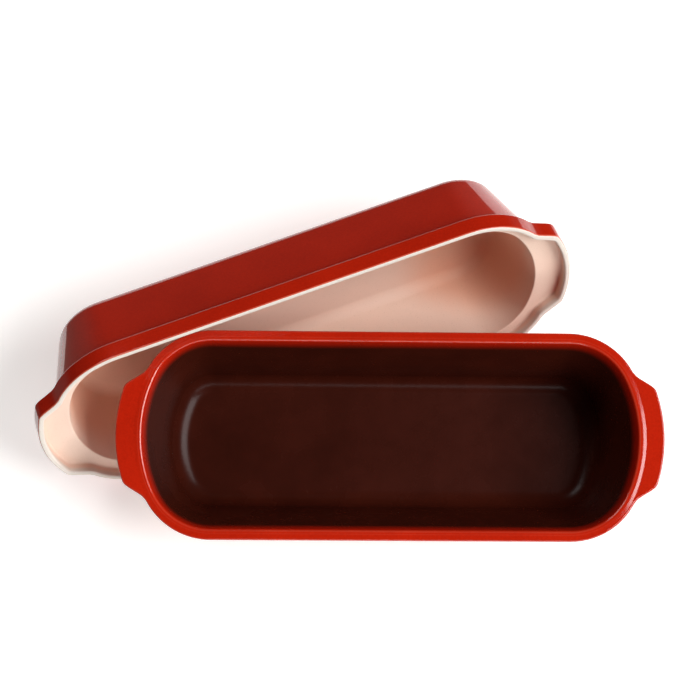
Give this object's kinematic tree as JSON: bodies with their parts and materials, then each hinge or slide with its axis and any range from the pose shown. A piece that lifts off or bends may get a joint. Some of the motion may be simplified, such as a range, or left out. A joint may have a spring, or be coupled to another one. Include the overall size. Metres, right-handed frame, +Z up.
{
  "type": "lidded loaf baker",
  "caption": "Long glazed stoneware loaf baker: open base with flared rim and end handles, and a deep lid with a wrapping lip, shown lifted off and lying behind it.",
  "frame": {"origin": "middle of the floor under the pair as it lies", "axes": "+X along the base, towards its right handle; +Y back towards the lid; +Z up from the floor"},
  "size_m": [0.4436, 0.2584, 0.1515],
  "materials": {
    "base_glaze": "gloss red glaze outside, dark glaze inside",
    "lid_glaze": "gloss red glaze outside, bare cream clay inside and on the lip"
  },
  "bodies": {
    "lid": {"lid": "lid_glaze"},
    "base": {"base": "base_glaze"}
  },
  "joints": [
    {"name": "base_lift", "type": "slide", "parent": "lid", "child": "base", "axis": [0.3166, -0.8699, 0.3782], "range_m": [0, 0.16]}
  ]
}
